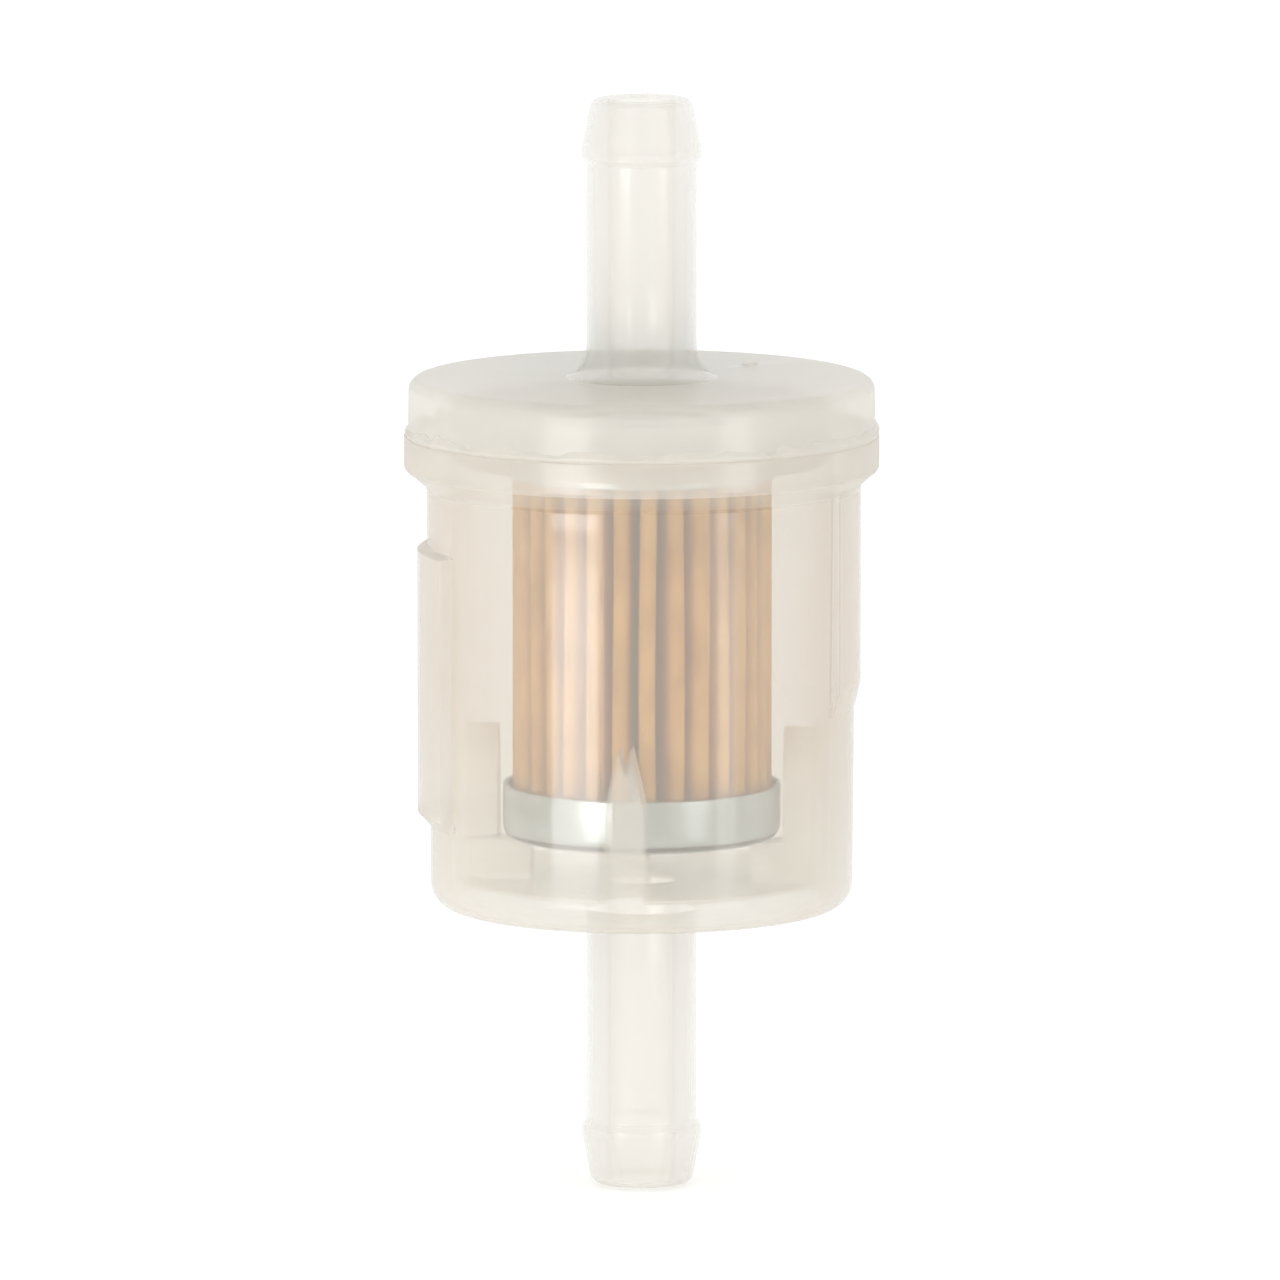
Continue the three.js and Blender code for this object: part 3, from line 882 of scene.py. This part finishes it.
def make_lower_cap(zinc, inner_zinc):
    low = lower_cap_box[0][2]
    high = lower_cap_box[1][2]
    # The middle of the cap's base is pressed out by this much
    press = 0.12
    press_radius = 6.2
    base_radius = 6.5
    outline = rounded([
        (0, low, 0),
        (press_radius, low, 0.5),
        (base_radius, low + press, 0.5),
        (CAP_RADIUS, low + press, 0.85),
        (CAP_RADIUS, high, 0.12),
        (CAP_RADIUS - SHEET, high, 0.12),
        (CAP_RADIUS - SHEET, low + SHEET + press, 0.55),
        (base_radius, low + SHEET + press, 0.5),
        (press_radius, low + SHEET, 0.5),
        (0, low + SHEET, 0),
    ])

    def dented(r, z, azimuth):
        """A drawn rim is never quite round."""
        wave = 0.03 * math.sin(3 * azimuth + 0.7) + 0.018 * math.sin(7 * azimuth)
        return r + (wave * smoothstep(z, low, high) if r > 7 else 0), z

    # The inner wall takes the second, darker zinc: painted shade in the gap between the rim and the paper
    def inside(r, z, outward):
        return int(r < CAP_RADIUS - 0.1 and z > low + SHEET)

    cap = lathe("lower_cap_shell", outline, place=dented)
    return finish_piece(cap, [zinc, inner_zinc], "lower_end_cap", zone=inside)


def make_upper_cap(zinc):
    low = upper_cap_box[0][2]
    high = upper_cap_box[1][2]
    top = seal_box[0][2]
    collar_outside = 3.2
    collar_inside = 2.9
    outline = rounded([
        (CAP_RADIUS - SHEET, low, 0.12),
        (CAP_RADIUS, low, 0.12),
        (CAP_RADIUS, top, 0.8),
        (collar_outside, top, 0.25),
        (collar_outside, high, 0.1),
        (collar_inside, high, 0.1),
        (collar_inside, top - SHEET, 0.4),
        (CAP_RADIUS - SHEET, top - SHEET, 0.5),
    ])
    cap = lathe("upper_cap_shell", outline)
    return finish_piece(cap, zinc, "upper_end_cap")


def make_adhesive(name, node, box, material, upper):
    """Cast ring or disc of adhesive whose free face creeps up the paper and the rim."""
    low = box[0][2]
    high = box[1][2]
    radius = box[1][0]
    free = low if upper else high
    seat = high if upper else low
    inner = CORE_RADIUS - SHEET if upper else 0
    creep = -0.25 if upper else 0.25
    toward = 1 if seat > free else -1
    outline = rounded([
        (inner, seat, 0),
        (radius - 0.75, seat, 0.1),
        (radius, seat - toward * 0.75, 0.1),
        (radius, free + creep, 0.05),
        (radius - 0.5, free, 0.6),
        (inner + 0.4, free, 0.6),
        (inner, free + (creep if upper else 0), 0),
    ])

    def wavy(r, z, azimuth):
        if abs(z - free) > 0.4:
            return r, z
        return r, z + 0.06 * noise.noise(Vector((r * math.cos(azimuth), r * math.sin(azimuth), 3.0)))

    piece = lathe(name, outline, place=wavy)
    return finish_piece(piece, material, node)


def make_core(zinc):
    """Rolled support tube with punched holes, every second row offset."""
    low = core_box[0][2]
    high = core_box[1][2]
    outline = rounded([
        (CORE_RADIUS - SHEET, low, 0.05),
        (CORE_RADIUS, low, 0.05),
        (CORE_RADIUS, high, 0.05),
        (CORE_RADIUS - SHEET, high, 0.05),
    ])
    tube = lathe("core_screen", outline, even_azimuths(72))
    rows = 5
    around = 6
    hole_radius = 0.8
    for row in range(rows):
        z = low + (high - low) * (row + 0.5) / rows
        for i in range(around):
            azimuth = 2 * math.pi * (i + row % 2 / 2) / around
            bm = bmesh.new()
            bmesh.ops.create_cone(
                bm, cap_ends=True, segments=24, radius1=hole_radius, radius2=hole_radius, depth=3,
            )
            turn = Matrix.Rotation(azimuth, 4, "Z") @ Matrix.Translation((CORE_RADIUS, 0, z))
            bmesh.ops.transform(bm, matrix=turn @ Matrix.Rotation(math.pi / 2, 4, "Y"), verts=bm.verts)
            mesh = bpy.data.meshes.new("punch")
            bm.to_mesh(mesh)
            bm.free()
            punch = bpy.data.objects.new("punch", mesh)
            bpy.context.scene.collection.objects.link(punch)
            combine(tube, punch, "DIFFERENCE")
    return finish_piece(tube, zinc, "core_tube")


def make_clip(zinc):
    """Folded strip crimped over the seam pleat, with a row of crimp dimples down its back."""
    low = clip_box[0][2]
    high = clip_box[1][2]
    crown = clip_box[1][1] - 0.01
    sheet = 0.2
    inside = 0.56
    depth = 1.3
    outside = inside + sheet
    dimple_pitch = 3.0
    dimple_depth = 0.07
    section = [
        (crown - depth, -outside),
        (crown, -outside),
        (crown, outside),
        (crown - depth, outside),
        (crown - depth, inside),
        (crown - sheet, inside),
        (crown - sheet, -inside),
        (crown - depth, -inside),
    ]
    levels = 60
    count = len(section)
    vertices = []
    faces = []
    for k in range(levels + 1):
        z = low + (high - low) * k / levels
        dimple = dimple_depth * max(0.0, math.sin(2 * math.pi * (z - low) / dimple_pitch)) ** 4
        for along, across in section:
            pinch = dimple if abs(across) > inside + 0.01 else 0
            side = math.copysign(pinch, across)
            vertices.append((*radial(SEAM_AZIMUTH, along, across - side), z))
    for k in range(levels):
        for i in range(count):
            j = (i + 1) % count
            a = k * count
            b = a + count
            faces.append([a + i, a + j, b + j, b + i])
    faces.append(list(range(count)))
    faces.append(list(range(levels * count + count - 1, levels * count - 1, -1)))
    clip = mesh_object("crimp_strip", vertices, faces)
    soften(clip, 0.05, segments=2, angle=50)
    return finish_piece(clip, zinc, "seam_clip")


def make_seal(rubber):
    low = seal_box[0][2]
    high = seal_box[1][2]
    radius = seal_box[1][0]
    hole_radius = 3.35
    crown = 0.12
    outline = rounded([
        (hole_radius, low, 0.25),
        (radius - crown, low, 0.35),
        (radius, (low + high) / 2, 0.5),
        (radius - crown, high, 0.35),
        (hole_radius, high, 0.25),
    ])
    return finish_piece(lathe("seal_ring", outline), rubber, "outlet_seal")


# ---------------------------------------------------------------- stage, light and camera


def make_floor():
    size = 3.0
    mesh = bpy.data.meshes.new("floor")
    corners = [(-size, -size, 0), (size, -size, 0), (size, size, 0), (-size, size, 0)]
    mesh.from_pydata(corners, [], [[0, 1, 2, 3]])
    floor = bpy.data.objects.new("floor", mesh)
    floor.location.z = (INLET_TIP - 0.2) * MM
    bpy.context.scene.collection.objects.link(floor)
    mesh.materials.append(floor_paint())


def card_light(name, azimuth, distance, width, low, high, radiance):
    """Upright white card that faces the filter, in metres. Azimuth 0 is at the front, + right."""
    data = bpy.data.lights.new(name, "AREA")
    data.shape = "RECTANGLE"
    data.size = width
    data.size_y = high - low
    data.energy = radiance * math.pi * width * (high - low)
    lamp = bpy.data.objects.new(name, data)
    a = math.radians(azimuth)
    outward = Vector((math.sin(a), -math.cos(a), 0))
    lamp.location = outward * distance + Vector((0, 0, (low + high) / 2))
    lamp.rotation_euler = outward.to_track_quat("Z", "Y").to_euler()
    lamp.visible_camera = False
    bpy.context.scene.collection.objects.link(lamp)


def make_world():
    world = bpy.data.worlds.new("studio")
    bpy.context.scene.world = world
    world.use_nodes = True
    background = world.node_tree.nodes["Background"]
    background.inputs["Color"].default_value = (1, 1, 1, 1)
    background.inputs["Strength"].default_value = 1.02


def make_camera():
    """Long lens from slightly above, the whole filter upright in the frame."""
    frame_width = 0.0768
    distance = 1.2
    elevation = math.radians(8)
    aim = Vector((-0.0001, 0, 0.0329))
    data = bpy.data.cameras.new("camera")
    sensor = 36
    data.sensor_width = sensor
    data.lens = sensor * distance / frame_width
    data.clip_start = 0.05
    data.clip_end = 20
    camera = bpy.data.objects.new("camera", data)
    offset = Vector((0, -math.cos(elevation), math.sin(elevation))) * distance
    camera.location = aim + offset
    camera.rotation_euler = offset.to_track_quat("Z", "Y").to_euler()
    bpy.context.scene.collection.objects.link(camera)
    bpy.context.scene.camera = camera


# ---------------------------------------------------------------- build

scene = bpy.context.scene
scene.view_settings.view_transform = "Standard"
# A sight line crosses many see-through faces: walls, ribs, pads and bores, front and back
scene.cycles.transparent_max_bounces = 32

make_camera()
make_world()
make_floor()
# Tall softboxes give the form. The low front cards are what the upright walls mirror, and the rim
# cards are what the flange and the lid's side mirror.
card_light(
    "softbox_left", azimuth=-40, distance=0.6,
    width=0.35, low=0.0, high=0.5, radiance=0.4,
)
card_light(
    "softbox_right", azimuth=50, distance=0.6,
    width=0.2, low=0.0, high=0.5, radiance=0.8,
)
card_light(
    "front_card_left", azimuth=-35, distance=0.13,
    width=0.058, low=0.0005, high=0.021, radiance=7.0,
)
card_light(
    "front_card_right", azimuth=45, distance=0.13,
    width=0.024, low=0.0005, high=0.021, radiance=3.0,
)
card_light(
    "rim_card_left", azimuth=-35, distance=0.13,
    width=0.05, low=0.0268, high=0.0328, radiance=11.0,
)
card_light(
    "rim_card_right", azimuth=46, distance=0.13,
    width=0.036, low=0.0268, high=0.0328, radiance=9.0,
)

# The plastic's colours, each with the shade it clouds to: cream wall, pale stems, ribs lightened by
# painted light, the lid's cream, the weld tongue inside the lid darkened to olive by painted shade,
# the warm flange, and painted shade at the upper stem's foot
CREAM = (0.83, 0.79, 0.715)
CREAM_SHADE = (0.8, 0.76, 0.685)
PALE = (0.79, 0.77, 0.735)
PALE_SHADE = (0.76, 0.74, 0.705)
# Painted light: the ribs are the wall's own plastic, made near white so that they read as brightly lit
RIB_PAINTED_LIGHT = (0.95, 0.935, 0.9)
RIB_PAINTED_LIGHT_CLOUD = (0.93, 0.91, 0.875)
LID_CREAM = (0.89, 0.865, 0.815)
LID_CREAM_SHADE = (0.86, 0.835, 0.785)
# Painted shade: the weld tongue is the lid's own plastic, darkened to olive where the lid's hollow looks
# dim
TONGUE_PAINTED_SHADE = (0.7, 0.7, 0.63)
TONGUE_PAINTED_SHADE_CLOUD = (0.66, 0.66, 0.59)
WARM = (0.785, 0.745, 0.68)
WARM_SHADE = (0.755, 0.715, 0.65)
# Painted shade on the upper stem's flared root, fading out over ROOT_HEIGHT; the extra opacity is the
# thicker plastic there
ROOT_PAINTED_SHADE = (0.73, 0.735, 0.71)
ROOT_HEIGHT = 4.5
ROOT_EXTRA_OPACITY = 0.1

# Haze per millimetre of plastic, and the bowl wall's radii at mid height
PLASTIC_DENSITY = 0.3
WALL_OUTSIDE = 12.8
WALL_INSIDE = 11.4

wall_veil_stops = wall_veil(WALL_OUTSIDE, WALL_INSIDE, PLASTIC_DENSITY)
stem_veil_stops = wall_veil(STEM_RADIUS, BORE_RADIUS, PLASTIC_DENSITY)
# The chamfer under the flange: as clear as the wall where it is seen face on, milky at its edges
chamfer_veil_stops = [(0.0, 0.3), (0.4, 0.36), (0.6, 0.6), (1.0, 0.86)]
# Painted shade and extra haze at the upper stem's root, both fading out upward
root_shade_and_haze = (LID_TOP * MM, (LID_TOP + ROOT_HEIGHT) * MM, ROOT_PAINTED_SHADE, ROOT_EXTRA_OPACITY)

wall_plastic = milky_plastic("milky_wall", wall_veil_stops, CREAM, CREAM_SHADE)
stem_plastic = milky_plastic("milky_stem", stem_veil_stops, PALE, PALE_SHADE)
top_stem_plastic = milky_plastic("milky_top_stem", stem_veil_stops, PALE, PALE_SHADE, shaded_thick_root=root_shade_and_haze)
inner_plastic = milky_plastic("milky_inner", even_veil(0.03, 0.08), CREAM, CREAM_SHADE)
# The ribs' near-white colour is painted light
lit_rib_plastic = milky_plastic("milky_rib_painted_light", even_veil(0.62, 0.4), RIB_PAINTED_LIGHT, RIB_PAINTED_LIGHT_CLOUD, through=0.08)
flash_plastic = milky_plastic("milky_flash", even_veil(0.6, 0.8), LID_CREAM, LID_CREAM_SHADE)
flange_plastic = milky_plastic("milky_flange", even_veil(0.74, 0.86), WARM, WARM_SHADE, rough=0.16)
chamfer_plastic = milky_plastic("milky_chamfer", chamfer_veil_stops, CREAM, CREAM_SHADE)
# The tongue's olive colour is painted shade
shaded_tongue_plastic = milky_plastic("milky_tongue_painted_shade", even_veil(0.5, 0.6), TONGUE_PAINTED_SHADE, TONGUE_PAINTED_SHADE_CLOUD)
lid_plastic = milky_plastic("milky_lid", even_veil(0.66, 0.78), LID_CREAM, LID_CREAM_SHADE, rough=0.16)
zinc = zinc_plate("zinc_plate", dull=(0.36, 0.41, 0.41), bright=(0.49, 0.55, 0.56))
# Painted shade: near-black zinc for the lower cap's inner wall, the shadowed gap between its rim and the
# paper
shaded_inner_zinc = zinc_plate("zinc_plate_painted_shade", dull=(0.07, 0.08, 0.09), bright=(0.12, 0.13, 0.14))
adhesive = cured_adhesive()

make_bowl([
    wall_plastic, stem_plastic, inner_plastic, lit_rib_plastic, flange_plastic, chamfer_plastic, lid_plastic,
])
make_lid([top_stem_plastic, inner_plastic, lid_plastic, shaded_tongue_plastic])
make_flash(flash_plastic)
make_paper(filter_paper())
make_lower_cap(zinc, shaded_inner_zinc)
make_upper_cap(zinc)
make_adhesive("lower_adhesive", "lower_potting", lower_potting_box, adhesive, upper=False)
make_adhesive("upper_adhesive", "upper_potting", upper_potting_box, adhesive, upper=True)
make_core(zinc)
make_clip(zinc)
make_seal(seal_rubber())
